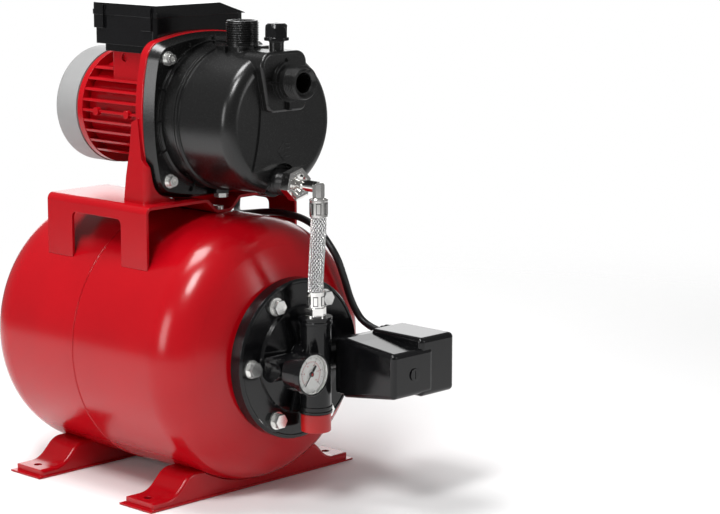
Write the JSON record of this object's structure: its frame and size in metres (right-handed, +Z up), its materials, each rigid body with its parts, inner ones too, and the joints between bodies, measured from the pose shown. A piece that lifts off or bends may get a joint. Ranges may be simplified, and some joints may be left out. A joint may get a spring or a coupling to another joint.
{
  "type": "shallow well jet pump set",
  "caption": "Electric jet pump on a horizontal red pressure tank, with braided hose, pressure gauge and pressure switch at the tank flange.",
  "frame": {"origin": "on the floor, under the middle of the whole unit", "axes": "+X along the tank and motor towards the tank flange and the suction port, +Y to the far side where the cable runs, +Z up"},
  "size_m": [0.4894, 0.282, 0.4875],
  "materials": {
    "red_paint": "glossy",
    "black_plastic": "glossy moulded",
    "casing_black": "glossy moulded",
    "grey_plastic": "satin",
    "zinc_steel": "zinc plated",
    "nickel": "nickel plated",
    "braid": "braided wire",
    "red_plastic": "moulded",
    "rubber": "matte",
    "brass": "machined",
    "lens": "clear",
    "dial": "printed",
    "needle": "matte",
    "cable": "satin",
    "copper": "enamelled",
    "lamination": "lacquered",
    "spring_steel": "bright",
    "ceramic": "ground",
    "noryl": "moulded",
    "white_plastic": "moulded",
    "aluminium": "cast"
  },
  "bodies": {
    "unit": {"tank_rear_shell": "red_paint", "tank_front_shell": "red_paint", "tank_bladder": "rubber", "air_valve": "brass", "rear_foot": "red_paint", "front_foot": "red_paint", "pump_bracket": "red_paint", "bracket_screws": "zinc_steel", "manifold": "black_plastic", "flange_bolts": "zinc_steel", "flange_gasket": "rubber", "gauge_case": "black_plastic", "gauge_lens": "lens", "gauge_dial": "dial", "gauge_movement": "brass", "hose_nipple": "nickel", "hose_ferrules": "nickel", "hose_braid": "braid", "hose_elbow": "nickel", "hose_union_nut": "nickel", "hose_seal": "rubber", "motor_housing": "red_paint", "rear_shield": "red_paint", "motor_pedestal": "red_paint", "rear_bearing": "spring_steel", "front_bearing": "spring_steel", "stator_core": "lamination", "stator_windings": "copper", "fan_cover": "grey_plastic", "seal_seat": "ceramic", "diffuser": "noryl", "jet_nozzle": "noryl", "pump_casing": "casing_black", "casing_bolts": "zinc_steel", "drain_plug": "zinc_steel", "terminal_box": "black_plastic", "terminal_box_lid": "black_plastic", "capacitor": "white_plastic", "terminal_block": "white_plastic", "motor_gland": "black_plastic", "switch_base": "black_plastic", "switch_cover": "black_plastic", "switch_cover_screw": "black_plastic", "switch_diaphragm": "rubber", "switch_springs": "spring_steel", "switch_contacts": "white_plastic", "switch_glands": "black_plastic", "motor_cable": "cable"},
    "rotor": {"rotor_shaft": "spring_steel", "rotor_core": "lamination", "cooling_fan": "white_plastic", "shaft_seal": "rubber", "impeller": "noryl"},
    "needle": {"gauge_needle": "needle"},
    "filler_ring": {"filler_seal": "rubber"},
    "filler_cap": {"filler_cap": "black_plastic"},
    "outlet_ring": {"outlet_cap_seal": "rubber"},
    "outlet_cap": {"outlet_cap": "red_plastic"},
    "valve_cap": {"air_valve_cap": "black_plastic"}
  },
  "joints": [
    {"name": "rotor_spin", "type": "hinge", "parent": "unit", "child": "rotor", "pos_m": [-0.04333, 0, 0.376], "axis": [1, 0, 0], "continuous": true},
    {"name": "gauge_needle_turn", "type": "hinge", "parent": "unit", "child": "needle", "pos_m": [0.18668, -0.0356, 0.1415], "axis": [-1, 0, 0], "range_deg": [0, 270]},
    {"name": "filler_cap_rise", "type": "slide", "parent": "unit", "child": "filler_ring", "axis": [0, 0, 1], "range_m": [0, 0.012]},
    {"name": "filler_cap_turn", "type": "hinge", "parent": "filler_ring", "child": "filler_cap", "pos_m": [0.10368, 0, 0.455], "axis": [0, 0, 1], "range_deg": [0, 2880]},
    {"name": "outlet_cap_drop", "type": "slide", "parent": "unit", "child": "outlet_ring", "axis": [0, 0, -1], "range_m": [0, 0.018]},
    {"name": "outlet_cap_turn", "type": "hinge", "parent": "outlet_ring", "child": "outlet_cap", "pos_m": [0.15668, 0, 0.085], "axis": [0, 0, -1], "range_deg": [0, 3600]},
    {"name": "valve_cap_pull", "type": "slide", "parent": "unit", "child": "valve_cap", "axis": [-1, 0, 0], "range_m": [0, 0.014]}
  ],
  "couplings": [
    {"joint": "filler_cap_turn", "follows": "filler_cap_rise", "rad_per_m": 4188.8},
    {"joint": "outlet_cap_turn", "follows": "outlet_cap_drop", "rad_per_m": 3490.7}
  ]
}
